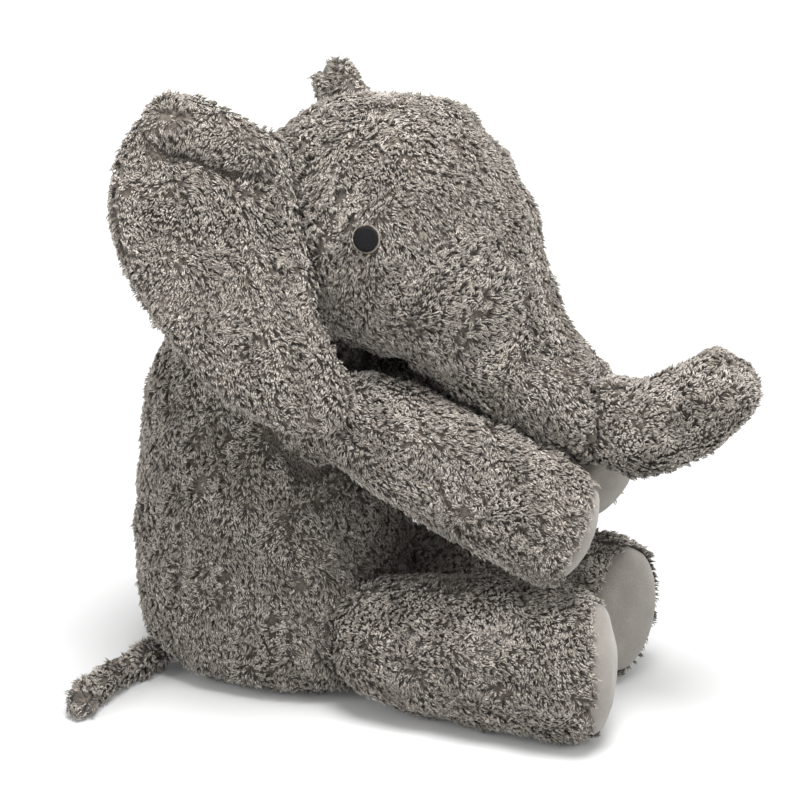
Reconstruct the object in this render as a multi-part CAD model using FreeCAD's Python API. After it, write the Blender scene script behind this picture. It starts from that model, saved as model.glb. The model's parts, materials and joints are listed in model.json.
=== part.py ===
"""Seated plush elephant, millimetres.

+X is forward (trunk), +Y the elephant's left, +Z up. The origin is the middle of the flat
seat on the floor. Each stuffed form is a smooth skin of plush fabric, cut into its sewn
panels, around a separate stuffing core. Forms that move are closed bags of their own that
turn on a ball-shaped root, in a socket with CLEAR of air around it.
"""
import FreeCAD, Part
import math
import os
from FreeCAD import Vector

# ---- driving dimensions
WALL = 3.0              # plush fabric: knitted backing and the pressed root of its pile
CLEAR = 0.7             # air between bags that move against each other
EAR_CLEAR = 1.6         # the same round the root of a flapping ear
BIG = 600.0             # larger than the whole toy, for cutting solids
RING_POINTS = 12        # points in the smooth section of every bag
SECTION_GAP = 9.0       # between neighbouring sections of a bag

NECK = Vector(14, 0, 166)
NECK_BALL = 30.0
TRUNK_BEND = Vector(162, 0, 138.5)
TRUNK_AXIS_FALL = 10.0  # degrees below level where the trunk leaves the snout
TRUNK_BALL = 19.0
TRUNK_CURL_UP = 35.0    # degrees
TRUNK_CURL_DOWN = 8.0

SHOULDER = Vector(60, 41, 138)
ARM_BALL = 21.5
SHOULDER_PAD = Vector(34, 29, 133)      # fullness of the body where the arm is sewn on
PAD_RADIUS = 20.0
PAW = Vector(151, 31, 97.5)
PAW_RADIUS = 26.5

HIP = Vector(71, 33, 33)
HIP_BALL = 28.0
FOOT = Vector(164, 32, 34.8)
FOOT_HALF_WIDE = 29.0
FOOT_HALF_TALL = 33.8

LEFT_SLOUCH = 8.0       # the left arm and leg sit this much further back than the right
TOE_IN = 15.0           # degrees, the soles face slightly towards each other
SOLE_DOME = 12.0        # how far a stuffed sole bulges past its seam

TAIL_ROOT = Vector(-45, -35.5, 7.5)
TAIL_TIP = Vector(-55, -101, 7.0)
TAIL_RADIUS = 6.0
TAIL_BOW = 4.0          # how far its middle lies off the straight line
TAIL_SWINGS = (0, 15, 30, 45)   # degrees backwards that the body leaves room for

EAR_ROOT_TOP = Vector(18.5, 38, 260)
EAR_DOWN = Vector(0.33, 0.31, -0.89)      # along the seam that joins the ear to the head
EAR_OUT = {                               # from that seam to the ear's free edge
    "left": Vector(-0.55, 0.83, -0.01),
    "right": Vector(-0.75, -0.66, -0.01),
}
EAR_THICK = 11.0
EAR_SEAM_LENGTH = 72.0
EAR_ROOM_PAST = 10.0    # the room for it in the head runs on past both ends of the seam
EAR_ROOT_STEP = 0.3     # the rounded seam edge is this much thinner each side
EAR_WADDING = 3.0
EAR_WADDING_SCALE = 0.9 # the wadding stops short of the hem
EAR_MIDDLE = (50, 38)   # down and out from the top of the seam
EAR_FOLD_LINE = 24.0    # down the seam; the rim above it may be folded over
EAR_RIM_STANDS = {"left": 0.48, "right": 1.0}   # share of that rim that still stands up
EAR_ROLL_RISE = 1.5     # the folded-over rim's middle, above the front of the ear

EYE_SPOT = Vector(67, 49, 226)
EYE_OUTWARD = Vector(0.12, 1.0, 0.10)
EYE_RADIUS = 5.6
EYE_THICK = 2.6
EYE_RIM = 1.2

HEAD_BACK = Vector(0, 0, 212)   # gusset above, chin panel below, from here to the trunk
GUSSET_HALF = 15.0      # the strip sewn over the forehead
CHIN_HALF = 20.0
SEAT_SEAM_HEIGHT = 6.0
BELLY_SEAM_X = 30.0
BELLY_TOP = 150.0
TRUNK_TIP_PANEL = 4.0
SIDE_SEAM_RISE = 2.0    # the side seams of arms and legs run just above their middle

# Sections. Body: middle x, height, half depth, half width, squareness.
BODY = [
    (4, 0.0, 46, 37, 2.3),
    (4, 5.0, 56, 47, 2.3),
    (3, 16.0, 62, 55, 2.4),
    (2, 38.0, 64, 59, 2.5),
    (-3, 70.0, 60, 59, 2.4),
    (-5, 100.0, 56, 56, 2.3),
    (-8, 125.0, 50.5, 50, 2.3),
    (-11.5, 145.0, 44.5, 45, 2.2),
    (-9, 159.0, 36, 39, 2.1),
    (-4, 171.0, 24, 29, 2.0),
]
# Head: x, z, degrees below level, half width, half height.
HEAD = [
    (-4, 226.0, 8, 13, 13),
    (2, 225.5, 8, 28, 29),
    (16, 222.5, 8, 43, 45),
    (38.5, 220.0, 10, 52, 53),
    (63, 217.0, 15, 56, 56.5),
    (82, 204.5, 26, 53, 49),
    (95.5, 189.5, 35, 45, 39.5),
    (112.5, 164.5, 40, 35, 28),
    (138, 146.5, 25, 27, 22.5),
    (162, 138.5, 10, 22.5, 21.5),
]
TRUNK = [
    (162, 138.5, 10, 19.0, 19.0),
    (170, 137.7, 4, 21.6, 20.8),
    (182, 140.0, -11, 21.5, 20.5),
    (199, 150.5, -37, 20.5, 19),
    (210, 163.0, -48, 19, 16.5),
    (215, 169.0, -48.5, 16.5, 14.5),
]
# Ear outline in its own plane: distance down its seam, distance out from it.
EAR_OUTLINE = [
    (-4, 3), (-13, 17), (-22, 32), (-25, 44), (-18, 56), (-4, 68), (13, 76), (32, 77.5),
    (51, 73.5), (70, 66), (88, 56), (106, 43), (120, 26), (127, 7), (119, -10), (96, -8),
    (71, -2), (35, 1),
]

# The rim folded over onto the front: down the seam, out from it, half width, half thickness.
EAR_ROLL = [
    (11, 6, 5.5, 4.0), (7, 13, 9.0, 5.0), (0, 22, 10.5, 5.5), (-7, 33, 10.5, 5.5),
    (-11, 45, 9.0, 5.0), (-10, 57, 6.0, 4.0),
]


def mirrored(point):
    return Vector(point.x, -point.y, point.z)


def on_side(side, point):
    """The left-hand point as it is, or its mirror image on the right."""
    return point if side == "left" else mirrored(point)


def limb_point(side, point):
    """A point of an arm or leg, which lie a little further back on the left."""
    slouch = LEFT_SLOUCH if side == "left" else 0.0
    return on_side(side, point) - Vector(slouch, 0, 0)


def turned(direction, degrees, axis=Vector(0, 0, 1)):
    return FreeCAD.Rotation(axis, degrees).multVec(direction)


def unit(vector):
    return vector * (1.0 / vector.Length)


def signed_power(value, power):
    return math.copysign(abs(value) ** power, value)


def ring(centre, along, half_side, half_up, squareness=2.0, up=Vector(0, 0, 1)):
    """A smooth closed section across `along`; `up` fixes which way is its height."""
    side_way = unit(along.cross(up))
    up_way = unit(side_way.cross(along))
    points = []
    for index in range(RING_POINTS):
        turn = 2 * math.pi * index / RING_POINTS
        across = half_side * signed_power(math.cos(turn), 2 / squareness)
        height = half_up * signed_power(math.sin(turn), 2 / squareness)
        points.append(centre + side_way * across + up_way * height)
    curve = Part.BSplineCurve()
    curve.interpolate(Points=points, PeriodicFlag=True)
    return Part.Wire(curve.toShape())


def filled_in(stations, distance):
    """The stations with smooth in-between ones added, about SECTION_GAP apart.

    `distance` tells how far apart two stations are.
    """
    ends = [stations[0]] + list(stations) + [stations[-1]]
    dense = [stations[0]]
    for before, start, end, after in zip(ends, ends[1:], ends[2:], ends[3:]):
        steps = max(1, round(distance(start, end) / SECTION_GAP))
        for step in range(1, steps + 1):
            t = step / steps
            dense.append(tuple(curve_between(*values, t)
                               for values in zip(before, start, end, after)))
    return dense


def curve_between(before, start, end, after, t):
    """Smooth curve through `start` and `end`, without overshooting either."""
    slope_in = gentle_slope(start - before, end - start)
    slope_out = gentle_slope(end - start, after - end)
    squared = t * t
    cubed = squared * t
    return ((2 * cubed - 3 * squared + 1) * start + (cubed - 2 * squared + t) * slope_in
            + (3 * squared - 2 * cubed) * end + (cubed - squared) * slope_out)


def gentle_slope(rise_before, rise_after):
    if rise_before * rise_after <= 0:
        return 0.0
    return 2 * rise_before * rise_after / (rise_before + rise_after)


def loft(rings):
    return Part.makeLoft(rings, True, False)


def ball(centre, radius):
    return Part.makeSphere(radius, centre)


def half_space(point, normal):
    """Everything past the plane through `point`, on the side `normal` points to."""
    block = Part.makeBox(BIG, BIG, BIG, Vector(-BIG / 2, -BIG / 2, 0))
    block.Placement = FreeCAD.Placement(point, FreeCAD.Rotation(Vector(0, 0, 1), normal))
    return block


def slab(x=(-BIG, BIG), y=(-BIG, BIG), z=(-BIG, BIG)):
    size = [high - low for low, high in (x, y, z)]
    return Part.makeBox(*size, Vector(x[0], y[0], z[0]))


def largest(shape):
    """The main solid of a cut, without slivers."""
    return max(shape.Solids, key=lambda solid: solid.Volume)


def bag(outer, core, cuts=()):
    """Skin and stuffing of one bag. Each cut is a pair: what the skin and the core lose."""
    for outer_cut, core_cut in cuts:
        outer = outer.cut(outer_cut)
        core = core.cut(core_cut)
    outer = largest(outer)
    core = largest(core)
    return outer.cut(core), core


def socket(centre, radius):
    return ball(centre, radius + CLEAR), ball(centre, radius + CLEAR + WALL)


# ---- forms, each as (outer, core)
def body_form(inset):
    rings = []
    stations = filled_in(BODY, lambda a, b: abs(b[1] - a[1]))
    last = len(stations) - 1
    for index, (x, z, half_x, half_y, squareness) in enumerate(stations):
        height = z + inset * (index == 0) - inset * (index == last)
        section = ring(Vector(x, 0, height), Vector(0, 0, 1), half_y - inset, half_x - inset,
                       squareness, up=Vector(1, 0, 0))
        rings.append(section)
    return loft(rings)


def facing_down(degrees):
    """A forward direction that falls this many degrees below level."""
    slope = math.radians(degrees)
    return Vector(math.cos(slope), 0, -math.sin(slope))


def level_rings(stations, inset, inset_start=0.0, inset_end=0.0):
    """Sections that stand on a line in the middle plane."""
    rings = []
    dense = filled_in(stations, lambda a, b: math.hypot(b[0] - a[0], b[1] - a[1]))
    last = len(dense) - 1
    for index, (x, z, fall, half_wide, half_tall) in enumerate(dense):
        along = facing_down(fall)
        shift = inset_start * (index == 0) - inset_end * (index == last)
        rings.append(ring(Vector(x, 0, z) + along * shift, along,
                          half_wide - inset, half_tall - inset))
    return rings


def dome(centre, outward, half_side, half_up, depth):
    """Sections of a rounded end, from beside its rim to its small flat tip."""
    rings = []
    for rise in (0.45, 0.75, 0.93, 1.0):
        shrink = math.sqrt(1.0 - (0.97 * rise) ** 2)
        rings.append(ring(centre + outward * depth * rise, outward,
                          half_side * shrink, half_up * shrink))
    return rings


def limb_form(start, start_radius, end, half_wide, half_tall, toe_in, inset):
    """A round-rooted tube from `start` to a domed sole past `end`."""
    along = unit(end - start)
    length = (end - start).Length
    facing = turned(along, toe_in)
    root = start_radius - inset
    stations = [
        (0.0, root, root, 0.0),
        (0.40 * length, half_wide - 0.5 - inset, half_tall - 1.0 - inset, 0.0),
        (0.85 * length, half_wide - inset, half_tall - inset, 0.3 * toe_in),
        (length, half_wide - 1.0 - inset, half_tall - 1.0 - inset, toe_in),
    ]
    rings = root_dome(start, along, root)
    for reach, side, tall, turn in filled_in(stations, lambda a, b: b[0] - a[0]):
        rings.append(ring(start + along * reach, turned(along, turn), side, tall))
    sole = dome(end, facing, half_wide - 1.0 - inset, half_tall - 1.0 - inset,
                SOLE_DOME - inset)
    return loft(rings + sole)


def root_dome(centre, along, radius):
    """Sections of the ball-shaped root of a bag, up to its equator."""
    rings = []
    for depth in (0.985, 0.93, 0.8, 0.6, 0.35):
        size = radius * math.sqrt(1.0 - depth ** 2)
        rings.append(ring(centre - along * radius * depth, along, size, size))
    return rings


def tail_form(inset):
    along = unit(TAIL_TIP - TAIL_ROOT)
    length = (TAIL_TIP - TAIL_ROOT).Length
    radius = TAIL_RADIUS - inset
    rings = root_dome(TAIL_ROOT, along, radius)
    stations = [
        (0.0, 0.0, radius, radius),
        (0.5 * length, TAIL_BOW, radius, radius - 0.3),
        (0.9 * length, 1.5, radius + 0.5, radius),
        (length - inset, 0.0, radius * 0.7, radius * 0.7),
    ]
    for reach, bow, wide, tall in filled_in(stations, lambda a, b: b[0] - a[0]):
        rings.append(ring(TAIL_ROOT + along * reach + Vector(-bow, 0, 0), along, wide, tall))
    return loft(rings)


def tail_room(swing, extra):
    """A straight passage for the tail, swung back by this many degrees."""
    along = turned(unit(TAIL_TIP - TAIL_ROOT), -swing)
    length = (TAIL_TIP - TAIL_ROOT).Length
    return Part.makeCylinder(TAIL_RADIUS + extra, length, TAIL_ROOT, along)


def ear_frame(side):
    """Point on the seam, direction down the seam, direction out, and the face normal."""
    down = unit(on_side(side, EAR_DOWN))
    out = EAR_OUT[side]
    out = unit(out - down * out.dot(down))
    normal = down.cross(out)
    if normal.x < 0:
        normal = normal * -1.0
    return on_side(side, EAR_ROOT_TOP), down, out, normal


def below_fold(side, u):
    """Where a point this far down the ear ends up once its upper rim is folded."""
    if u > EAR_FOLD_LINE:
        return u
    return EAR_FOLD_LINE + (u - EAR_FOLD_LINE) * EAR_RIM_STANDS[side]


def ear_face(side, scale):
    """The ear's outline as a flat face, drawn towards its middle by `scale`."""
    top, down, out, _ = ear_frame(side)
    middle_u, middle_v = EAR_MIDDLE
    points = []
    for u, v in EAR_OUTLINE:
        across = middle_u + (below_fold(side, u) - middle_u) * scale
        outward = middle_v + (v - middle_v) * scale
        points.append(top + down * across + out * outward)
    curve = Part.BSplineCurve()
    curve.interpolate(Points=points, PeriodicFlag=True)
    return Part.Face(Part.Wire(curve.toShape()))


def ear_roll(side):
    """The flattened roll that the folded-over rim makes on the front of the ear."""
    top, down, out, normal = ear_frame(side)
    rise = normal * (EAR_THICK / 2 + EAR_ROLL_RISE)
    middles = [top + down * below_fold(side, u) + out * v + rise for u, v, *_ in EAR_ROLL]
    rings = []
    last = len(middles) - 1
    for index, middle in enumerate(middles):
        along = middles[min(index + 1, last)] - middles[max(index - 1, 0)]
        half_wide, half_thick = EAR_ROLL[index][2:]
        rings.append(ring(middle, along, half_wide, half_thick, up=normal))
    return loft(rings)


def ear_pieces(side):
    """Front panel, back panel and the thin wadding sewn in between them."""
    top, down, _, normal = ear_frame(side)
    half = EAR_THICK / 2
    face = ear_face(side, 1.0)
    front = face.extrude(normal * half)
    back = face.extrude(normal * -half)
    inner = ear_face(side, EAR_WADDING_SCALE)
    inner.translate(normal * (-EAR_WADDING / 2))
    wadding = inner.extrude(normal * EAR_WADDING)
    seam_start = below_fold(side, 0.0)
    root = Part.makeCylinder(half - EAR_ROOT_STEP, EAR_SEAM_LENGTH - seam_start,
                             top + down * seam_start, down)
    front = front.fuse(root.common(half_space(top, normal))).fuse(ear_roll(side)).cut(wadding)
    back = back.fuse(root.common(half_space(top, normal * -1.0))).cut(wadding)
    return largest(front), largest(back), largest(wadding)


def ear_swept(side, extra):
    """Room for the ear's rounded root along its seam."""
    top, down, *_ = ear_frame(side)
    start = top - down * EAR_ROOM_PAST
    length = EAR_SEAM_LENGTH + 2 * EAR_ROOM_PAST
    return Part.makeCylinder(EAR_THICK / 2 + extra, length, start, down)


nodes = {}


def build_body():
    cuts = []
    for side in ("left", "right"):
        cuts.append(socket(limb_point(side, SHOULDER), ARM_BALL))
        cuts.append(socket(limb_point(side, HIP), HIP_BALL))
    cuts.append(socket(TAIL_ROOT, TAIL_RADIUS))
    for swing in TAIL_SWINGS:
        cuts.append((tail_room(swing, CLEAR), tail_room(swing, CLEAR + WALL)))
    outer = body_form(0.0).fuse(ball(NECK, NECK_BALL))
    core = body_form(WALL).fuse(ball(NECK, NECK_BALL - WALL))
    for side in ("left", "right"):
        pad = limb_point(side, SHOULDER_PAD)
        outer = outer.fuse(ball(pad, PAD_RADIUS))
        core = core.fuse(ball(pad, PAD_RADIUS - WALL))
    skin, stuffing = bag(outer, core, cuts)
    seat = skin.common(slab(z=(-1, SEAT_SEAM_HEIGHT)))
    above = skin.cut(slab(z=(-1, SEAT_SEAM_HEIGHT)))
    belly_room = slab(x=(BELLY_SEAM_X, BIG), z=(0, BELLY_TOP))
    belly = above.common(belly_room)
    sides = above.cut(belly_room)
    nodes["body_seat_panel"] = seat
    nodes["body_belly_panel"] = belly
    nodes["body_left_side_panel"] = sides.common(slab(y=(0, BIG)))
    nodes["body_right_side_panel"] = sides.common(slab(y=(-BIG, 0)))
    nodes["body_stuffing"] = stuffing


def build_head():
    cuts = [socket(NECK, NECK_BALL), socket(TRUNK_BEND, TRUNK_BALL)]
    for turn_up in (-TRUNK_CURL_DOWN, TRUNK_CURL_UP):
        normal = facing_down(TRUNK_AXIS_FALL - turn_up)
        room = half_space(TRUNK_BEND - normal * CLEAR, normal)
        deeper = half_space(TRUNK_BEND - normal * (CLEAR + WALL), normal)
        cuts.append((room, deeper))
    for side in ("left", "right"):
        cuts.append((ear_swept(side, EAR_CLEAR), ear_swept(side, EAR_CLEAR + WALL)))
    outer = loft(level_rings(HEAD, 0.0))
    core = loft(level_rings(HEAD, WALL, inset_start=WALL))
    skin, stuffing = bag(outer, core, cuts)
    upward = Vector(HEAD_BACK.z - TRUNK_BEND.z, 0, TRUNK_BEND.x - HEAD_BACK.x)
    upper = half_space(HEAD_BACK, upward)
    gusset_room = slab(y=(-GUSSET_HALF, GUSSET_HALF)).common(upper)
    chin_room = slab(y=(-CHIN_HALF, CHIN_HALF)).cut(upper)
    nodes["head_gusset"] = skin.common(gusset_room)
    nodes["head_chin_panel"] = skin.common(chin_room)
    cheeks = skin.cut(gusset_room).cut(chin_room)
    nodes["head_left_panel"] = cheeks.common(slab(y=(0, BIG)))
    nodes["head_right_panel"] = cheeks.common(slab(y=(-BIG, 0)))
    nodes["head_stuffing"] = stuffing
    for side in ("left", "right"):
        build_eye(side, outer)


def build_eye(side, head):
    """A flat black embroidered disc and the ring of thread that borders it."""
    spot = on_side(side, EYE_SPOT)
    outward = unit(on_side(side, EYE_OUTWARD))
    column = Part.makeCylinder(EYE_RADIUS, 40, spot - outward * 20, outward)
    ring_column = Part.makeCylinder(EYE_RADIUS + EYE_RIM, 40, spot - outward * 20, outward)
    raised = loft(level_rings(HEAD, -EYE_THICK))
    rim_raised = loft(level_rings(HEAD, -EYE_THICK * 0.6))
    nodes[side + "_eye"] = largest(column.common(raised).cut(head))
    nodes[side + "_eye_rim"] = largest(ring_column.cut(column).common(rim_raised).cut(head))


def trunk_form(inset):
    along = facing_down(TRUNK_AXIS_FALL)
    radius = TRUNK_BALL - inset
    root = root_dome(TRUNK_BEND, along, radius)
    return loft(root + level_rings(TRUNK, inset, inset_end=inset))


def build_trunk():
    skin, stuffing = bag(trunk_form(0.0), trunk_form(WALL))
    x, z, fall = TRUNK[-1][:3]
    facing = facing_down(fall)
    tip_room = half_space(Vector(x, 0, z) - facing * TRUNK_TIP_PANEL, facing)
    sleeve = skin.cut(tip_room)
    nodes["trunk_tip_panel"] = skin.common(tip_room)
    nodes["trunk_left_panel"] = sleeve.common(slab(y=(0, BIG)))
    nodes["trunk_right_panel"] = sleeve.common(slab(y=(-BIG, 0)))
    nodes["trunk_stuffing"] = stuffing


def build_limb(name, side, start, start_radius, end, half_wide, half_tall):
    start = limb_point(side, start)
    end = limb_point(side, end)
    toe_in = -TOE_IN if side == "left" else TOE_IN
    outer = limb_form(start, start_radius, end, half_wide, half_tall, toe_in, 0.0)
    core = limb_form(start, start_radius, end, half_wide, half_tall, toe_in, WALL)
    skin, stuffing = bag(outer, core)
    along = unit(end - start)
    facing = turned(along, toe_in)
    sole_room = half_space(end, facing)
    upward = unit(Vector(0, 0, 1) - along * along.z)
    top_room = half_space(start + upward * SIDE_SEAM_RISE, upward)
    tube = skin.cut(sole_room)
    nodes[f"{side}_{name}_sole"] = skin.common(sole_room)
    nodes[f"{side}_{name}_top_panel"] = tube.common(top_room)
    nodes[f"{side}_{name}_under_panel"] = tube.cut(top_room)
    nodes[f"{side}_{name}_stuffing"] = stuffing


def build_tail():
    skin, stuffing = bag(tail_form(0.0), tail_form(WALL))
    top_room = half_space(TAIL_ROOT, Vector(0, 0, 1))
    nodes["tail_top_panel"] = skin.common(top_room)
    nodes["tail_under_panel"] = skin.cut(top_room)
    nodes["tail_stuffing"] = stuffing


build_body()
build_head()
build_trunk()
for side in ("left", "right"):
    front, back, wadding = ear_pieces(side)
    nodes[side + "_ear_front_panel"] = front
    nodes[side + "_ear_back_panel"] = back
    nodes[side + "_ear_wadding"] = wadding
    build_limb("arm", side, SHOULDER, ARM_BALL, PAW, PAW_RADIUS, PAW_RADIUS)
    build_limb("leg", side, HIP, HIP_BALL, FOOT, FOOT_HALF_WIDE, FOOT_HALF_TALL)
build_tail()

os.makedirs("parts", exist_ok=True)
for name, shape in nodes.items():
    shape.exportStep(f"parts/{name}.step")
    print(f"{name:26s} solids {len(shape.Solids)} valid {shape.isValid()}"
          f" volume {shape.Volume / 1000:8.1f} cm3")
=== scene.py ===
"""The plush elephant's visible surfaces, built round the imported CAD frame. Metres.

Every stuffed bag gets a padded skin, made from its CAD panels and swollen by a short cloth
simulation between its pinned seams. The pile is real geometry: clumps of tapered strands that
lean along a combed direction, one piece of pile for each sewn panel.
"""
import json
import math

import bmesh
import bpy
import numpy as np
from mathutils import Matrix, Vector
from mathutils.bvhtree import BVHTree
from mathutils.kdtree import KDTree

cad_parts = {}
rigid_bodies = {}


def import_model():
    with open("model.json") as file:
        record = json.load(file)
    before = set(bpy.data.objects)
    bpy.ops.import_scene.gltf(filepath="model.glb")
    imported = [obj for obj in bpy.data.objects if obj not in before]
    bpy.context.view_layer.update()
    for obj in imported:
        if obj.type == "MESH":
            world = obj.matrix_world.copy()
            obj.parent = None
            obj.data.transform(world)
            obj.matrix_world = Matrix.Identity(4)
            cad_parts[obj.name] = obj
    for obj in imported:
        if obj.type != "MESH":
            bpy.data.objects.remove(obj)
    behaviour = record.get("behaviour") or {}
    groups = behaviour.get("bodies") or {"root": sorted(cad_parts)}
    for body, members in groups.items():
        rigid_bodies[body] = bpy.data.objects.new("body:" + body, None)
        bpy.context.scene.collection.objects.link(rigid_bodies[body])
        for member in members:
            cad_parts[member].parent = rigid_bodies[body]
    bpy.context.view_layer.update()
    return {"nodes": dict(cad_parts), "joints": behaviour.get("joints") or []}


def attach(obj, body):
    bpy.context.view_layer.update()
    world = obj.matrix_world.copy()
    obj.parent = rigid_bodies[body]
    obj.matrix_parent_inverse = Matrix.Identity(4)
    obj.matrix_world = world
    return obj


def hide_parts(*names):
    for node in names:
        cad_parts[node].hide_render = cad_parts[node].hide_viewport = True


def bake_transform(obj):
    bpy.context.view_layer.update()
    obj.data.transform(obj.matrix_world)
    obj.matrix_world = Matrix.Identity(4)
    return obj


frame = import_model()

MM = 0.001
SCENE = bpy.context.scene
RANDOM = np.random.default_rng(20)

# ---- skins
VOXEL = 4.0 * MM                # remesh size of the large bags
SMALL_VOXEL = 2.5 * MM          # of the ears and tail
START_SMALLER = 1.3 * MM        # drawn in before the simulation
SWELL_CAP = 4.0 * MM            # furthest that a point may move in it
PRESSURE = 4.0
CLOTH_FRAMES = 20
SEAM_PINNED = 3.0 * MM          # cloth this close to a seam is held
SEAM_DEPTH = 1.1 * MM           # a seam pulls the finished skin in by this much
SEAM_REACH = 3.0 * MM

# ---- pile
STRAND_LENGTH = 4.8 * MM
STRAND_WIDTH = 0.31 * MM        # radius of a strand at its knee
STRANDS_IN_CLUMP = 5
CLUMP_RADIUS = 0.95 * MM
CLUMP_SPACING = 1.45 * MM
OVERSAMPLED = 2.6               # random places tried for each clump
EVENNESS = 0.83                 # nearest that two clumps may stand, in spacings
HOLLOW_ROUNDS = 20              # how far around a place decides whether it is a hollow
DEEP_HOLLOW = 0.55 * MM         # from this depth its pile is short and dark with painted shade
BURIED = 0.6 * MM               # how deep a strand's foot sits in the skin
BELOW_KNEE = 0.66               # share of a strand below its knee, where it is widest and bends
ABOVE_KNEE = 0.34
LEAN_LOW = 0.75                 # radians off upright, below and above the knee
LEAN_HIGH = 1.45
SWAY = 0.16                     # how far single strands stray sideways
GATHERED = 0.35                 # how far a clump's tips draw together
SWIRL = 0.6                     # slow turns of the lay, against the combed direction
SWIRL_ACROSS = 34 * MM
CURL = 0.35                     # quick turns
CURL_ACROSS = 9 * MM
STRAY = 0.28                    # and each clump's own
PATCH_ACROSS = 18 * MM          # patches of longer, flatter or paler pile
LEAST_ROOM = 1.0 * MM           # no pile where another bag is nearer than this
ROOM_SEEN = 3 * STRAND_LENGTH   # another bag further off than this doesn't matter
ROOM_SHADED = 2.2 * STRAND_LENGTH   # nearer than half of this the pile is dark with painted shade
LOOK_FROM = 0.5 * MM            # below the surface, from where the room above is measured
FLOOR_GAP = 0.3 * MM            # pressed pile and skins stay this far above the floor

# ---- embroidered eyes
THREAD_RADIUS = 0.22 * MM
THREAD_SIDES = 6
STITCH_SPACING = 0.36 * MM
STITCH_WAY = (0.25, 0.0, 1.0)   # the way that the disc's stitches run
RIM_STITCHES = 84
RIM_WIDTH = 0.7 * MM
RIM_INSIDE = 0.2 * MM           # how far the rim's stitches reach in over the disc
RIM_LEAN = 0.06                 # radians round the disc from one end of them to the other
CROWN = 0.3 * MM                # how far a stitch arches off the fabric
RAGGED = 0.15 * MM              # every other stitch of the disc is longer by this at each end
EYE_SHOWN = 0.94                # share of the CAD disc's radius that the stitches fill
BARE_SHARE = 0.9                # share of that radius where no pile stands
EYE_BED = -0.8 * MM             # the skin under the stitches, from the disc's middle

# ---- camera: the photograph's viewing angle
CAMERA_AZIMUTH = math.radians(22)
CAMERA_ELEVATION = math.radians(20)
CAMERA_DISTANCE = 1.3
CAMERA_TARGET = Vector((0.0604, 0.0, 0.1346))
CAMERA_LENS = 130.45            # mm, as is the sensor's width
SENSOR_WIDTH = 36.0

# ---- studio
WHITE = (1.0, 1.0, 1.0, 1.0)
WORLD_STRENGTH = 0.8
LIGHTS = [                      # name, place, width across, watts
    ("key_light", (0.35, -0.4, 1.6), 0.8, 40.0),
    ("front_light", (1.3, -0.45, 0.9), 0.7, 7.0),
    ("side_light", (-0.9, -1.1, 0.8), 0.7, 8.5),
]
LIGHTS_AIM = Vector((0.05, 0.0, 0.12))
FLOOR_HALF = 40.0
FLOOR_TONE = 0.58
# The floor's glow near the toy and far away, and the distances between which it changes.
FLOOR_GLOW = {"From Min": 0.15, "From Max": 0.9, "To Min": 0.03, "To Max": 0.5}


def srgb(red, green, blue):
    """Linear colour of an sRGB triple from 0 to 255."""
    def linear(value):
        value /= 255
        return value / 12.92 if value <= 0.04045 else ((value + 0.055) / 1.055) ** 2.4
    return (linear(red), linear(green), linear(blue), 1.0)


# ---- camera, light and floor
def add_camera():
    back = Vector((
        math.sin(CAMERA_AZIMUTH) * math.cos(CAMERA_ELEVATION),
        -math.cos(CAMERA_AZIMUTH) * math.cos(CAMERA_ELEVATION),
        math.sin(CAMERA_ELEVATION),
    ))
    data = bpy.data.cameras.new("photo_camera")
    data.lens = CAMERA_LENS
    data.sensor_width = SENSOR_WIDTH
    data.clip_start = 0.01
    data.clip_end = 50.0
    camera = bpy.data.objects.new("photo_camera", data)
    camera.location = CAMERA_TARGET + back * CAMERA_DISTANCE
    camera.rotation_euler = (-back).to_track_quat("-Z", "Y").to_euler()
    SCENE.collection.objects.link(camera)
    SCENE.camera = camera


def add_area_light(name, place, size, watts):
    data = bpy.data.lights.new(name, "AREA")
    data.shape = "DISK"
    data.size = size
    data.energy = watts
    light = bpy.data.objects.new(name, data)
    light.location = place
    light.rotation_euler = (LIGHTS_AIM - Vector(place)).to_track_quat("-Z", "Y").to_euler()
    SCENE.collection.objects.link(light)


def add_world():
    world = bpy.data.worlds.new("studio")
    world.use_nodes = True
    background = world.node_tree.nodes["Background"]
    background.inputs["Color"].default_value = WHITE
    background.inputs["Strength"].default_value = WORLD_STRENGTH
    SCENE.world = world


def floor_material():
    """Pale grey that glows more and more away from the toy, so that it stays white there."""
    material = bpy.data.materials.new("pale_floor")
    material.use_nodes = True
    tree = material.node_tree
    shader = tree.nodes["Principled BSDF"]
    shader.inputs["Base Color"].default_value = (FLOOR_TONE, FLOOR_TONE, FLOOR_TONE, 1.0)
    shader.inputs["Emission Color"].default_value = WHITE
    shader.inputs["Roughness"].default_value = 0.9
    place = tree.nodes.new("ShaderNodeTexCoord")
    away = tree.nodes.new("ShaderNodeVectorMath")
    away.operation = "LENGTH"
    tree.links.new(place.outputs["Object"], away.inputs[0])
    glow = tree.nodes.new("ShaderNodeMapRange")
    glow.interpolation_type = "SMOOTHSTEP"
    for socket, value in FLOOR_GLOW.items():
        glow.inputs[socket].default_value = value
    tree.links.new(away.outputs["Value"], glow.inputs["Value"])
    tree.links.new(glow.outputs["Result"], shader.inputs["Emission Strength"])
    return material


def add_floor():
    mesh = bpy.data.meshes.new("floor")
    half = FLOOR_HALF
    corners = [(-half, -half, 0), (half, -half, 0), (half, half, 0), (-half, half, 0)]
    mesh.from_pydata(corners, [], [(0, 1, 2, 3)])
    mesh.materials.append(floor_material())
    floor = bpy.data.objects.new("floor", mesh)
    SCENE.collection.objects.link(floor)


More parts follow.
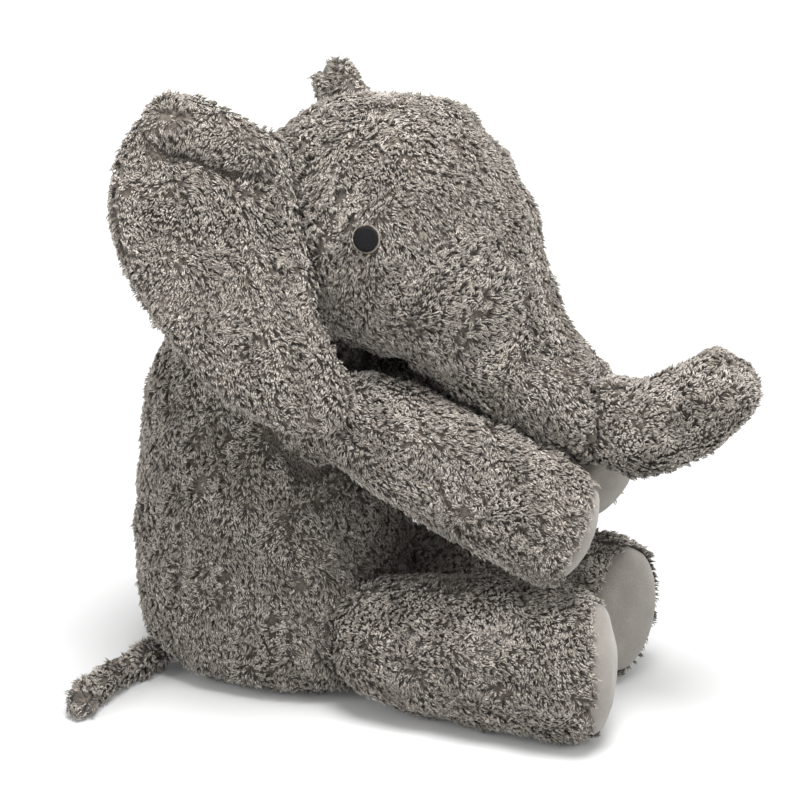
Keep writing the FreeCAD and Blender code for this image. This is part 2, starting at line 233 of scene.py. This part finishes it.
# ---- materials
def node_material(name, roughness, sheen):
    material = bpy.data.materials.new(name)
    material.use_nodes = True
    shader = material.node_tree.nodes["Principled BSDF"]
    shader.inputs["Roughness"].default_value = roughness
    shader.inputs["Specular IOR Level"].default_value = 0.2
    shader.inputs["Sheen Weight"].default_value = sheen
    shader.inputs["Sheen Roughness"].default_value = 0.5
    return material, material.node_tree, shader


def noise_texture(tree, scale, detail=3.0):
    """A 3-D noise in the object's own coordinates."""
    place = tree.nodes.new("ShaderNodeTexCoord")
    noise_node = tree.nodes.new("ShaderNodeTexNoise")
    noise_node.inputs["Scale"].default_value = scale
    noise_node.inputs["Detail"].default_value = detail
    tree.links.new(place.outputs["Object"], noise_node.inputs["Vector"])
    return noise_node


def add_bump(tree, shader, height, distance, strength):
    bump = tree.nodes.new("ShaderNodeBump")
    bump.inputs["Distance"].default_value = distance
    bump.inputs["Strength"].default_value = strength
    tree.links.new(height, bump.inputs["Height"])
    tree.links.new(bump.outputs["Normal"], shader.inputs["Normal"])


def fabric_material(name, dark, light, scale, roughness=0.95, sheen=0.25, bump=0.4 * MM):
    """Two tones mixed by fine noise over slow noise, with a matching bump."""
    material, tree, shader = node_material(name, roughness, sheen)
    fine = noise_texture(tree, scale, 5.0)
    slow = noise_texture(tree, scale / 14, 2.0)
    both = tree.nodes.new("ShaderNodeMath")
    both.operation = "MULTIPLY_ADD"
    both.inputs[1].default_value = 0.6
    tree.links.new(fine.outputs["Fac"], both.inputs[0])
    share = tree.nodes.new("ShaderNodeMath")
    share.operation = "MULTIPLY"
    share.inputs[1].default_value = 0.4
    tree.links.new(slow.outputs["Fac"], share.inputs[0])
    tree.links.new(share.outputs[0], both.inputs[2])
    ramp = tree.nodes.new("ShaderNodeValToRGB")
    ramp.color_ramp.elements[0].position = 0.36
    ramp.color_ramp.elements[0].color = dark
    ramp.color_ramp.elements[1].position = 0.64
    ramp.color_ramp.elements[1].color = light
    tree.links.new(both.outputs[0], ramp.inputs["Fac"])
    tree.links.new(ramp.outputs["Color"], shader.inputs["Base Color"])
    add_bump(tree, shader, fine.outputs["Fac"], bump, 0.8)
    return material


def strand_material(name, colour):
    """One flat tone of the pile, a dye tone or a painted shade, with fine fibres in its bump."""
    material, tree, shader = node_material(name, 0.75, 0.3)
    shader.inputs["Base Color"].default_value = colour
    fibres = noise_texture(tree, 2600.0)
    add_bump(tree, shader, fibres.outputs["Fac"], 0.15 * MM, 0.6)
    return material


# The skins' backing fabric; its dark tones are painted shade for the gaps between the clumps.
BACKING_PAINTED_SHADE = fabric_material("plush_backing_painted_shade", srgb(72, 65, 58), srgb(108, 100, 91), 900)
SHORT_PLUSH = fabric_material("short_plush", srgb(114, 109, 103), srgb(132, 127, 120), 1500,
                              bump=0.25 * MM)
EYE_THREAD = fabric_material("eye_thread", srgb(6, 6, 7), srgb(18, 17, 20), 2400, 0.6, 0.0,
                             0.1 * MM)
RIM_THREAD = fabric_material("rim_thread", srgb(112, 105, 96), srgb(150, 142, 132), 2400, 0.7,
                             0.2, 0.1 * MM)
# Painted shade: the darker tone of every strand below its knee, deep in the pile.
ROOT_PAINTED_SHADE = strand_material("pile_root", srgb(96, 88, 79))
SHAFT_TONES = [
    strand_material("pile_shaft_deep", srgb(133, 126, 117)),
    strand_material("pile_shaft_middle", srgb(157, 150, 141)),
    strand_material("pile_shaft_pale", srgb(181, 174, 165)),
]
# Painted shade: the dark tone of clumps in hollows of the skin and close under another bag.
CREASE_PAINTED_SHADE = strand_material("pile_crease", srgb(78, 71, 64))
PILE_MATERIALS = [ROOT_PAINTED_SHADE, CREASE_PAINTED_SHADE] + SHAFT_TONES


# ---- meshes
def new_object(name, mesh):
    thing = bpy.data.objects.new(name, mesh)
    SCENE.collection.objects.link(thing)
    return thing


def read_points(mesh):
    values = np.empty(len(mesh.vertices) * 3)
    mesh.vertices.foreach_get("co", values)
    return values.reshape(-1, 3)


def write_points(mesh, points):
    mesh.vertices.foreach_set("co", np.ascontiguousarray(points, dtype=np.float32).ravel())
    mesh.update()


def vertex_normals(mesh):
    values = np.empty(len(mesh.vertices) * 3)
    mesh.vertices.foreach_get("normal", values)
    return values.reshape(-1, 3)


def edge_ends(mesh):
    """The two vertices of each edge."""
    ends = np.empty(len(mesh.edges) * 2, dtype=np.int32)
    mesh.edges.foreach_get("vertices", ends)
    return ends.reshape(-1, 2)


def baked(thing):
    """Replaces the object's mesh by what its modifiers make of it."""
    bpy.context.view_layer.update()
    graph = bpy.context.evaluated_depsgraph_get()
    mesh = bpy.data.meshes.new_from_object(thing.evaluated_get(graph))
    old = thing.data
    thing.modifiers.clear()
    thing.data = mesh
    bpy.data.meshes.remove(old)


def remeshed(thing, voxel):
    modifier = thing.modifiers.new("voxels", "REMESH")
    modifier.mode = "VOXEL"
    modifier.voxel_size = voxel
    modifier.use_smooth_shade = True
    baked(thing)
    keep_outer_shell(thing)


def keep_outer_shell(thing):
    """Drops everything but the island of faces that is largest across."""
    mesh = bmesh.new()
    mesh.from_mesh(thing.data)
    todo = set(mesh.verts)
    islands = []
    while todo:
        start = todo.pop()
        island = [start]
        reached = [start]
        while reached:
            vertex = reached.pop()
            for link in vertex.link_edges:
                other = link.other_vert(vertex)
                if other in todo:
                    todo.remove(other)
                    island.append(other)
                    reached.append(other)
        islands.append(island)

    def across(island):
        points = np.array([v.co for v in island])
        return float(np.linalg.norm(points.max(0) - points.min(0)))

    islands.sort(key=across)
    for island in islands[:-1]:
        bmesh.ops.delete(mesh, geom=island, context="VERTS")
    mesh.to_mesh(thing.data)
    mesh.free()


def smooth(thing, rounds):
    modifier = thing.modifiers.new("smooth", "SMOOTH")
    modifier.iterations = rounds
    modifier.factor = 0.5
    baked(thing)


def subdivided(thing):
    modifier = thing.modifiers.new("finer", "SUBSURF")
    modifier.levels = 1
    modifier.render_levels = 1
    baked(thing)


def joined_nodes(name, nodes):
    """A new object that holds copies of these CAD nodes' meshes."""
    mesh = bmesh.new()
    for node in nodes:
        mesh.from_mesh(frame["nodes"][node].data)
    data = bpy.data.meshes.new(name)
    mesh.to_mesh(data)
    mesh.free()
    return new_object(name, data)


def node_tree(node):
    """A search tree over one CAD node's surface."""
    mesh = bmesh.new()
    mesh.from_mesh(frame["nodes"][node].data)
    tree = BVHTree.FromBMesh(mesh)
    mesh.free()
    return tree


def nearest_panel(points, panels):
    """For each point, the index of the CAD panel whose surface is nearest."""
    distances = np.empty((len(panels), len(points)))
    for row, panel in enumerate(panels):
        tree = node_tree(panel)
        for column, point in enumerate(points):
            distances[row, column] = tree.find_nearest(point)[3]
    return distances.argmin(0)


def seam_distance(mesh, labels):
    """Each vertex's distance to the nearest edge between two panels."""
    points = read_points(mesh)
    ends = edge_ends(mesh)
    crossing = ends[labels[ends[:, 0]] != labels[ends[:, 1]]]
    if len(crossing) == 0:
        return np.full(len(points), 1.0)
    middles = (points[crossing[:, 0]] + points[crossing[:, 1]]) / 2
    tree = KDTree(len(middles))
    for index, point in enumerate(middles):
        tree.insert(point, index)
    tree.balance()
    return np.array([tree.find(point)[2] for point in points])


def swell(thing, pinned):
    """Short cloth simulation under pressure; `pinned` vertices stay where they are."""
    start = read_points(thing.data)
    group = thing.vertex_groups.new(name="pinned")
    group.add([int(index) for index in np.nonzero(pinned)[0]], 1.0, "REPLACE")
    cloth = thing.modifiers.new("cloth", "CLOTH")
    settings = cloth.settings
    settings.use_pressure = True
    settings.uniform_pressure_force = PRESSURE
    settings.effector_weights.gravity = 0.0
    settings.quality = 5
    settings.mass = 0.3
    settings.tension_stiffness = 15.0
    settings.compression_stiffness = 15.0
    settings.bending_stiffness = 0.5
    settings.vertex_group_mass = "pinned"
    cloth.point_cache.frame_start = 1
    cloth.point_cache.frame_end = CLOTH_FRAMES
    for number in range(1, CLOTH_FRAMES + 1):
        SCENE.frame_set(number)
    baked(thing)
    SCENE.frame_set(1)
    thing.vertex_groups.clear()
    moved = read_points(thing.data) - start
    length = np.linalg.norm(moved, axis=1, keepdims=True)
    moved *= np.minimum(1.0, SWELL_CAP / np.maximum(length, 1e-9))
    write_points(thing.data, start + moved)


def make_skin(name, panels, hidden, voxel):
    """Padded skin of one bag from its CAD panels; returns it with a panel index per vertex."""
    skin = joined_nodes(name, panels + hidden)
    remeshed(skin, voxel)
    smooth(skin, 2)
    labels = nearest_panel(read_points(skin.data), panels)
    away = seam_distance(skin.data, labels)
    write_points(skin.data, read_points(skin.data)
                 - vertex_normals(skin.data) * START_SMALLER)
    swell(skin, away < SEAM_PINNED)
    smooth(skin, 1)
    subdivided(skin)
    labels = nearest_panel(read_points(skin.data), panels)
    away = seam_distance(skin.data, labels)
    dent = SEAM_DEPTH * np.exp(-(away / SEAM_REACH) ** 2)
    points = read_points(skin.data) - vertex_normals(skin.data) * dent[:, None]
    points[:, 2] = np.maximum(points[:, 2], FLOOR_GAP)
    write_points(skin.data, points)
    skin.data.polygons.foreach_set("use_smooth", [True] * len(skin.data.polygons))
    return skin, labels


# ---- pile
def hollows(mesh):
    """How deep each vertex lies in a hollow of the surface; negative where it bulges."""
    points = read_points(mesh)
    ends = edge_ends(mesh)
    one, other = ends.T
    count = len(points)
    neighbours = np.bincount(ends.ravel(), minlength=count)[:, None]
    evened = points.copy()
    for _ in range(HOLLOW_ROUNDS):
        total = np.stack([np.bincount(one, evened[other, axis], count)
                          + np.bincount(other, evened[one, axis], count)
                          for axis in range(3)], axis=1)
        evened = total / neighbours
    return np.sum((evened - points) * vertex_normals(mesh), axis=1)


def smooth_field(points, wavelength, seed):
    """A slowly turning vector for each point, about 1 long."""
    draw = np.random.default_rng(seed)
    total = np.zeros((len(points), 3))
    waves = 7
    for _ in range(waves):
        direction = draw.normal(size=3)
        direction /= np.linalg.norm(direction)
        number = 2 * math.pi / (wavelength * draw.uniform(0.7, 1.6))
        phase = draw.uniform(0, 2 * math.pi)
        amount = draw.normal(size=3)
        total += np.sin(points @ direction * number + phase)[:, None] * amount
    return total / math.sqrt(waves / 2)


def unit_rows(vectors):
    return vectors / np.maximum(np.linalg.norm(vectors, axis=1, keepdims=True), 1e-12)


def along_surface(vectors, normals):
    return vectors - normals * np.sum(vectors * normals, axis=1, keepdims=True)


def beside_axis(points, middle, outward):
    """Each point's distance from the line through `middle` along `outward`."""
    return np.linalg.norm(along_surface(points - middle, outward[None, :]), axis=1)


def scattered(mesh, chosen, spacing):
    """Random places over the chosen faces: points, smooth normals and how hollow it is."""
    mesh.calc_loop_triangles()
    count = len(mesh.loop_triangles)
    corners = np.empty(count * 3, dtype=np.int32)
    mesh.loop_triangles.foreach_get("vertices", corners)
    corners = corners.reshape(-1, 3)
    owner = np.empty(count, dtype=np.int32)
    mesh.loop_triangles.foreach_get("polygon_index", owner)
    area = np.empty(count)
    mesh.loop_triangles.foreach_get("area", area)
    keep = chosen[owner]
    corners = corners[keep]
    wanted = area[keep] / spacing ** 2
    times = np.floor(wanted + RANDOM.random(len(wanted))).astype(int)
    corners = np.repeat(corners, times, axis=0)
    first = RANDOM.random(len(corners))
    second = RANDOM.random(len(corners))
    over = first + second > 1
    first[over] = 1 - first[over]
    second[over] = 1 - second[over]
    weights = np.stack([1 - first - second, first, second], axis=1)[:, :, None]
    points = (read_points(mesh)[corners] * weights).sum(1)
    normals = unit_rows((vertex_normals(mesh)[corners] * weights).sum(1))
    depth = (hollows(mesh)[corners] * weights[:, :, 0]).sum(1)
    return points, normals, np.clip(depth / DEEP_HOLLOW, 0, 1)


def thinned(points, spacing):
    """Indices of points of which no two are much nearer than `spacing`."""
    tree = KDTree(len(points))
    for index, point in enumerate(points):
        tree.insert(point, index)
    tree.balance()
    dropped = np.zeros(len(points), dtype=bool)
    for index, point in enumerate(points):
        if dropped[index]:
            continue
        for _, other, _ in tree.find_range(point, spacing * EVENNESS):
            if other > index:
                dropped[other] = True
    return np.nonzero(~dropped)[0]


def room_above(points, normals, others):
    """How far each point can look along its normal before it meets another bag."""
    room = np.full(len(points), ROOM_SEEN)
    for index, (point, normal) in enumerate(zip(points, normals)):
        start = Vector(point) - Vector(normal) * LOOK_FROM
        distance = others.ray_cast(start, Vector(normal), ROOM_SEEN)[3]
        if distance is not None:
            room[index] = max(0.0, distance - LOOK_FROM)
    falling = normals[:, 2] < -0.05     # these look down at the floor
    room[falling] = np.minimum(room[falling], points[falling, 2] / -normals[falling, 2])
    return room


def clump_places(mesh, chosen, others, bare):
    """Where clumps stand: points, normals, how hollow it is there and the room above."""
    points, normals, hollow = scattered(mesh, chosen, CLUMP_SPACING / math.sqrt(OVERSAMPLED))
    for middle, outward, radius in bare:
        beside = beside_axis(points, middle, outward)
        keep = (beside > radius * BARE_SHARE) | (np.abs((points - middle) @ outward) > 3 * radius)
        points, normals, hollow = points[keep], normals[keep], hollow[keep]
    even = thinned(points, CLUMP_SPACING)
    points, normals, hollow = points[even], normals[even], hollow[even]
    room = room_above(points, normals, others)
    keep = room > LEAST_ROOM
    return points[keep], normals[keep], hollow[keep], room[keep]


def clump_looks(length, slow, hollow, room):
    """Each clump's length, share of the full lean and tone: 0 is painted shade in creases and
    under near bags, else 1 to 3.

    `slow` holds three values that change slowly over the surface, one for each of them.
    """
    def varied(middle, column, by_patch, by_clump):
        return middle + by_patch * slow[:, column] + by_clump * RANDOM.normal(size=len(slow))

    tall = length * np.clip(varied(1, 0, 0.12, 0.12), 0.6, 1.4)
    tall = np.minimum(tall * (1 - 0.5 * hollow), room * 1.5)
    bend = np.clip(varied(1, 1, 0.15, 0.18), 0.4, 1.4)
    tone = np.clip(np.round(varied(2, 2, 0.5, 0.5)), 1, 3)
    # How much painted shade a clump gets: from a hollow in its own skin, or from another bag
    # close above it.
    deep = np.maximum(hollow, 1 - room / ROOM_SHADED)
    tone[deep + 0.15 * RANDOM.normal(size=len(deep)) > 0.5] = 0
    return tall, bend, tone


def grow_pile(name, mesh, chosen, comb, others, bare, length, seed):
    """One mesh of clumped, leaning strands over the chosen faces.

    `comb(points)` is the way they lie; `bare` holds round spots without pile.
    """
    points, normals, hollow, room = clump_places(mesh, chosen, others, bare)
    count = len(points)
    way = comb(points) + SWIRL * smooth_field(points, SWIRL_ACROSS, seed)
    way = way + CURL * smooth_field(points, CURL_ACROSS, seed + 1)
    way = way + STRAY * RANDOM.normal(size=(count, 3))
    way = unit_rows(along_surface(way, normals))
    slow = smooth_field(points, PATCH_ACROSS, seed + 2)
    tall, bend, tone = clump_looks(length, slow, hollow, room)

    strands = STRANDS_IN_CLUMP
    points = np.repeat(points, strands, axis=0)
    normals = np.repeat(normals, strands, axis=0)
    way = np.repeat(way, strands, axis=0)
    side_way = np.cross(normals, way)
    tall = np.repeat(tall, strands) * RANDOM.uniform(0.86, 1.1, count * strands)
    bend = np.repeat(bend, strands)
    tone = np.repeat(tone, strands)
    total = count * strands
    turn = RANDOM.uniform(0, 2 * math.pi, total)
    out = CLUMP_RADIUS * np.sqrt(RANDOM.random(total))
    offset = (way * np.cos(turn)[:, None] + side_way * np.sin(turn)[:, None]) * out[:, None]
    foot = points + offset - normals * BURIED
    low, high = bend * LEAN_LOW, bend * LEAN_HIGH
    sway = RANDOM.normal(size=total) * SWAY
    first = normals * np.cos(low)[:, None] + way * np.sin(low)[:, None]
    first = unit_rows(first + side_way * sway[:, None])
    second = normals * np.cos(high)[:, None] + way * np.sin(high)[:, None]
    second = unit_rows(second - side_way * sway[:, None] * 1.6)
    knee = foot + first * (tall * BELOW_KNEE + BURIED)[:, None]
    tip = knee + second * (tall * ABOVE_KNEE)[:, None] - offset * GATHERED
    knee[:, 2] = np.maximum(knee[:, 2], FLOOR_GAP + STRAND_WIDTH)
    tip[:, 2] = np.maximum(tip[:, 2], FLOOR_GAP)
    return write_strands(name, foot, knee, tip, tone)


def write_strands(name, foot, knee, tip, tone):
    """Closed three-sided strands, pointed at both ends: six triangles each."""
    count = len(foot)
    along = unit_rows(tip - foot)
    level = unit_rows(np.cross(along, RANDOM.normal(size=(count, 3))))
    upright = np.cross(along, level)
    points = np.empty((count, 5, 3), dtype=np.float32)
    points[:, 0] = foot
    for corner in range(3):
        angle = 2 * math.pi * corner / 3
        across = level * math.cos(angle) + upright * math.sin(angle)
        points[:, 1 + corner] = knee + across * STRAND_WIDTH
    points[:, 4] = tip
    pattern = []
    for corner in range(3):
        after = (corner + 1) % 3
        pattern.append((0, 1 + after, 1 + corner))
        pattern.append((4, 1 + corner, 1 + after))
    pattern = np.array(pattern, dtype=np.int32)
    faces = (np.arange(count, dtype=np.int32)[:, None, None] * 5 + pattern[None]).reshape(-1, 3)
    # Faces below the knee take the roots' painted shade; above it tone + 1, where tone 0 is the
    # creases' painted shade.
    slots = np.zeros((count, len(pattern)), dtype=np.int32)
    slots[:, 1::2] = tone[:, None] + 1
    mesh = bpy.data.meshes.new(name)
    mesh.vertices.add(count * 5)
    mesh.vertices.foreach_set("co", points.ravel())
    mesh.loops.add(faces.size)
    mesh.loops.foreach_set("vertex_index", faces.ravel())
    mesh.polygons.add(len(faces))
    mesh.polygons.foreach_set("loop_start", np.arange(0, faces.size, 3, dtype=np.int32))
    mesh.polygons.foreach_set("material_index", slots.ravel())
    mesh.polygons.foreach_set("use_smooth", np.ones(len(faces), dtype=bool))
    for material in PILE_MATERIALS:
        mesh.materials.append(material)
    mesh.update(calc_edges=True)
    return new_object(name, mesh)


def polygon_labels(mesh, labels):
    """The panel of each face, from its first corner."""
    starts = np.empty(len(mesh.polygons), dtype=np.int32)
    mesh.polygons.foreach_get("loop_start", starts)
    corners = np.empty(len(mesh.loops), dtype=np.int32)
    mesh.loops.foreach_get("vertex_index", corners)
    return labels[corners[starts]]


def tree_of(meshes):
    """One search tree over several meshes."""
    points, faces = [], []
    for mesh in meshes:
        shift = len(points)
        points += [tuple(vertex.co) for vertex in mesh.vertices]
        faces += [tuple(shift + corner for corner in face.vertices) for face in mesh.polygons]
    return BVHTree.FromPolygons(points, faces)


def plane_through(points):
    """Middle and normal of the plane that best fits the points."""
    middle = points.mean(0)
    normal = np.linalg.svd(points - middle)[2][2]
    return middle, normal


def split_sole(skin, labels, index):
    """Cuts the sole off the skin along the flat seam; both get a hidden cap."""
    points = read_points(skin.data)
    ends = edge_ends(skin.data)
    in_sole = labels == index
    crossing = ends[in_sole[ends[:, 0]] != in_sole[ends[:, 1]]]
    middle, normal = plane_through((points[crossing[:, 0]] + points[crossing[:, 1]]) / 2)
    if (points[in_sole].mean(0) - middle) @ normal < 0:
        normal = -normal
    parts = []
    sole_name = skin.name.replace("_skin", "_sole_skin")
    for name, flip in ((skin.name, 1), (sole_name, -1)):
        mesh = bmesh.new()
        mesh.from_mesh(skin.data)
        bmesh.ops.bisect_plane(mesh, geom=mesh.verts[:] + mesh.edges[:] + mesh.faces[:],
                               plane_co=Vector(middle), plane_no=Vector(normal * flip),
                               clear_outer=True)
        rim = [edge for edge in mesh.edges if edge.is_boundary]
        for face in bmesh.ops.edgeloop_fill(mesh, edges=rim)["faces"]:
            face.smooth = False
        data = bpy.data.meshes.new(name)
        mesh.to_mesh(data)
        mesh.free()
        parts.append(data)
    old = skin.data
    skin.data = parts[0]
    bpy.data.meshes.remove(old)
    return new_object(sole_name, parts[1])


def combed(kind):
    """The function that tells which way the pile of this kind of bag lies at each point."""
    back, front, (start, end) = COMBS[kind]

    def comb(points):
        share = np.clip((points[:, :1] / MM - start) / (end - start), 0, 1)
        return np.array(back) * (1 - share) + np.array(front) * share
    return comb


def threads(name, rows, material):
    """One mesh of closed round threads, each along its row of points."""
    points, faces = [], []
    for row in rows:
        row = np.asarray(row)
        along = unit_rows(np.gradient(row, axis=0))
        aside = along[:, [1, 2, 0]] + (0.3, 0.1, 0.2)   # any way that isn't along the thread
        level = unit_rows(np.cross(along, aside))
        upright = np.cross(along, level)
        first = len(points)
        for index in range(len(row)):
            for corner in range(THREAD_SIDES):
                angle = 2 * math.pi * corner / THREAD_SIDES
                across = level[index] * math.cos(angle) + upright[index] * math.sin(angle)
                points.append(row[index] + across * THREAD_RADIUS)
        for index in range(len(row) - 1):
            for corner in range(THREAD_SIDES):
                after = (corner + 1) % THREAD_SIDES
                low = first + index * THREAD_SIDES
                high = low + THREAD_SIDES
                faces.append((low + corner, low + after, high + after, high + corner))
        faces.append(tuple(first + corner for corner in reversed(range(THREAD_SIDES))))
        last = len(points) - THREAD_SIDES
        faces.append(tuple(last + corner for corner in range(THREAD_SIDES)))
    mesh = bpy.data.meshes.new(name)
    mesh.from_pydata([tuple(point) for point in points], [], faces)
    mesh.polygons.foreach_set("use_smooth", [True] * len(faces))
    mesh.materials.append(material)
    return new_object(name, mesh)


def eye_frame(side):
    """Middle, outward direction and stitched radius of one embroidered disc."""
    points = read_points(frame["nodes"][f"{side}_eye"].data)
    middle, outward = plane_through(points)
    if outward[1] * (1 if side == "left" else -1) < 0:
        outward = -outward
    return middle, outward, beside_axis(points, middle, outward).max() * EYE_SHOWN


def pressed_in(skin, side):
    """The stitches of an eye hold the skin flat beneath them."""
    middle, outward, radius = eye_frame(side)
    points = read_points(skin.data)
    beside = beside_axis(points, middle, outward)
    height = (points - middle) @ outward
    limit = EYE_BED + np.maximum(0.0, beside - radius)
    sunk = np.where((beside < 2 * radius) & (np.abs(height) < radius),
                    np.minimum(height, limit), height)
    write_points(skin.data, points + (sunk - height)[:, None] * outward)


def embroider_eye(side):
    """Satin stitches side by side over the disc, and whipped stitches over its rim."""
    middle, outward, radius = eye_frame(side)
    stitch_way = unit_rows(along_surface(np.array([STITCH_WAY]), outward[None, :]))[0]
    across_way = np.cross(outward, stitch_way)

    def laid_on(node, lines):
        """Flat lines laid on a CAD node's surface, each arched like a stitch."""
        tree = node_tree(node)
        rows = []
        for line in lines:
            row = []
            for share, (across, along) in zip(np.linspace(-1, 1, len(line)), line):
                flat = middle + across_way * across + stitch_way * along
                hit = tree.ray_cast(Vector(flat + outward * 20 * MM), Vector(-outward))[0]
                if hit is None:
                    hit = tree.find_nearest(Vector(flat + outward * MM))[0]
                row.append(np.array(hit) + outward * CROWN * (1 - share * share))
            rows.append(row)
        return rows

    disc_lines = []
    for number, across in enumerate(np.arange(RAGGED - radius, radius, STITCH_SPACING)):
        half = math.sqrt(max(radius ** 2 - across ** 2, 0)) + RAGGED * (number % 2)
        disc_lines.append([(across, along) for along in np.linspace(-half, half, 9)])
    rim_lines = []
    for turn in np.linspace(0, 2 * math.pi, RIM_STITCHES, endpoint=False):
        reaches = np.linspace(radius - RIM_INSIDE, radius + RIM_WIDTH, 5)
        turns = np.linspace(turn, turn + RIM_LEAN, 5)
        rim_lines.append(list(zip(reaches * np.cos(turns), reaches * np.sin(turns))))
    for part, slot, material, lines in (("eye", "eye_thread", EYE_THREAD, disc_lines),
                                        ("eye_rim", "rim_thread", RIM_THREAD, rim_lines)):
        node = f"{side}_{part}"
        stitches = threads(f"{node}_stitches", laid_on(node, lines), material)
        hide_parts(node)
        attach(stitches, "head")


def ride_or_bend(piece, body, bends):
    """Rides on its body; a piece of a bag listed in `bends` only gets its transform applied and
    has no parent.
    """
    if body in bends:
        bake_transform(piece)
    else:
        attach(piece, body)


# ---- how each kind of bag is combed, and where a bend by its joint would lie
# The way the pile lies at the back and at the front of each kind of bag, and the x between
# which the one turns into the other.
COMBS = {
    "body": ((0.1, 0.0, -1.0), (0.1, 0.0, -1.0), (-60, 60)),
    "head": ((0.25, 0.0, -1.0), (1.1, 0.0, -0.3), (55, 110)),
    "trunk": ((0.9, 0.0, -0.2), (0.7, 0.0, 0.7), (175, 205)),
    "tail": ((-0.3, -0.95, 0.0), (-0.3, -0.95, 0.0), (-60, 60)),
    "arm": ((0.8, 0.0, -0.6), (0.8, 0.0, -0.6), (60, 150)),
    "leg": ((0.9, 0.0, -0.5), (0.9, 0.0, -0.5), (60, 150)),
    "ear": ((-0.3, 0.0, -0.9), (-0.1, 0.0, -1.0), (-60, 60)),
}
PILE_LENGTHS = {"tail": 1.25, "head_gusset": 0.85}     # times STRAND_LENGTH
# How far from a joint's middle, along the bag, a bend of its fabric would start and end; only
# these points are worked out.
BENDS = {"trunk": (-4, 16), "tail": (2, 20), "arm": (2, 36), "leg": (5, 45), "ear": (0, 12)}


# ---- the whole toy
add_camera()
add_world()
for light in LIGHTS:
    add_area_light(*light)
add_floor()
SCENE.view_settings.view_transform = "Standard"

bags = {
    "body": ("torso", ["body_seat_panel", "body_belly_panel", "body_left_side_panel",
                       "body_right_side_panel"], ["body_stuffing"], VOXEL),
    "head": ("head", ["head_gusset", "head_chin_panel", "head_left_panel", "head_right_panel"],
             ["head_stuffing"], VOXEL),
    "trunk": ("trunk", ["trunk_tip_panel", "trunk_left_panel", "trunk_right_panel"],
              ["trunk_stuffing"], VOXEL),
    "tail": ("tail", ["tail_top_panel", "tail_under_panel"], ["tail_stuffing"], SMALL_VOXEL),
}
for side in ("left", "right"):
    for limb in ("arm", "leg"):
        stem = f"{side}_{limb}"
        bags[stem] = (stem, [f"{stem}_top_panel", f"{stem}_under_panel", f"{stem}_sole"],
                      [f"{stem}_stuffing"], VOXEL)
    stem = f"{side}_ear"
    bags[stem] = (stem, [f"{stem}_front_panel", f"{stem}_back_panel"], [f"{stem}_wadding"],
                  SMALL_VOXEL)

skins = {}
skin_labels = {}
for name, (body, panels, hidden, voxel) in bags.items():
    skins[name], skin_labels[name] = make_skin(f"{name}_skin", panels, hidden, voxel)
bare_spots = []
for side in ("left", "right"):
    pressed_in(skins["head"], side)
    embroider_eye(side)
    bare_spots.append(eye_frame(side))

bends = {}
for joint in frame["joints"]:
    kind = joint["child"].split("_")[-1]
    if kind not in BENDS:
        continue
    anchor = Vector(joint["pos_m"])
    middle = Vector(read_points(skins[joint["child"]].data).mean(0))
    way = (middle - anchor).normalized()
    if kind == "ear":
        axis = Vector(joint["axis"]).normalized()
        way = (way - axis * way.dot(axis)).normalized()
    start, end = BENDS[kind]
    bends[joint["child"]] = (joint["parent"], anchor + way * start * MM, anchor + way * end * MM)

for name, (body, panels, _, _) in bags.items():
    skin = skins[name]
    kind = name.split("_")[-1]
    others = tree_of([skins[other].data for other in skins if other != name])
    faces = polygon_labels(skin.data, skin_labels[name])
    for index, panel in enumerate(panels):
        if panel.endswith("_sole"):
            continue
        length = STRAND_LENGTH * PILE_LENGTHS.get(panel, PILE_LENGTHS.get(kind, 1.0))
        pile = grow_pile(f"{panel}_pile", skin.data, faces == index, combed(kind), others,
                         bare_spots if kind == "head" else (), length, 10 * index + 1)
        ride_or_bend(pile, body, bends)

for name, (body, panels, hidden, _) in bags.items():
    skin = skins[name]
    covered = [panel for panel in panels if not panel.endswith("_sole")]
    if len(covered) < len(panels):
        sole = split_sole(skin, skin_labels[name], len(panels) - 1)
        sole.data.materials.append(SHORT_PLUSH)
        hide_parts(panels[-1])
        ride_or_bend(sole, body, bends)
    skin.data.materials.append(BACKING_PAINTED_SHADE)
    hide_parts(*covered, *hidden)
    ride_or_bend(skin, body, bends)
